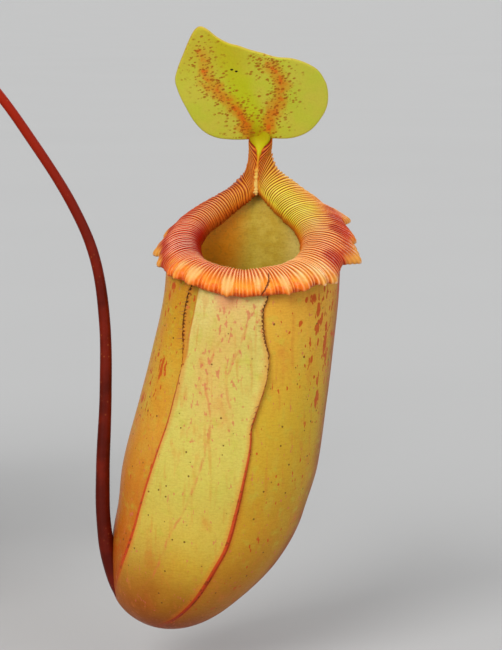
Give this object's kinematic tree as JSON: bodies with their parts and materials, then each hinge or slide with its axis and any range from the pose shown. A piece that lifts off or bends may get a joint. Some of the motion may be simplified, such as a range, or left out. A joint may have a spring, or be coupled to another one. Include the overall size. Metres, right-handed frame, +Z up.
{
  "type": "potted pitcher plant",
  "caption": "Tropical pitcher plant in a plain clay pot: arching leaves whose tendrils carry open, lidded hanging pitchers.",
  "frame": {"origin": "centre of the pot's flat base, on the surface that it stands on", "axes": "+Z up along the pot's axis; -Y is the front, the way that the large pitcher faces; +X towards the large pitcher"},
  "size_m": [0.4826, 0.3323, 0.2485],
  "materials": {
    "terracotta": "matte",
    "potting_mix": "matte",
    "stem": "matte",
    "leaf_green": "satin",
    "tendril_red": "satin",
    "cup_yellow": "satin",
    "lip_orange": "satin",
    "lid_lime": "satin"
  },
  "bodies": {
    "root": {"pot": "terracotta", "potting_mix": "potting_mix", "stem": "stem", "new_leaf": "leaf_green", "leaf_1": "leaf_green", "leaf_2": "leaf_green", "leaf_3": "leaf_green", "leaf_4": "leaf_green", "leaf_5": "leaf_green", "leaf_6": "leaf_green", "leaf_7": "leaf_green", "leaf_8": "leaf_green", "tendril_1": "tendril_red", "tendril_2": "tendril_red", "tendril_3": "tendril_red", "tendril_4": "tendril_red", "tendril_5": "tendril_red", "tendril_6": "tendril_red", "tendril_7": "tendril_red", "tendril_8": "tendril_red", "pitcher_1_cup": "cup_yellow", "pitcher_1_lip": "lip_orange", "pitcher_1_lid": "lid_lime", "pitcher_1_spur": "lip_orange", "pitcher_2_cup": "cup_yellow", "pitcher_2_lip": "lip_orange", "pitcher_2_lid": "lid_lime", "pitcher_2_spur": "lip_orange", "young_pitcher": "cup_yellow"}
  },
  "joints": []
}
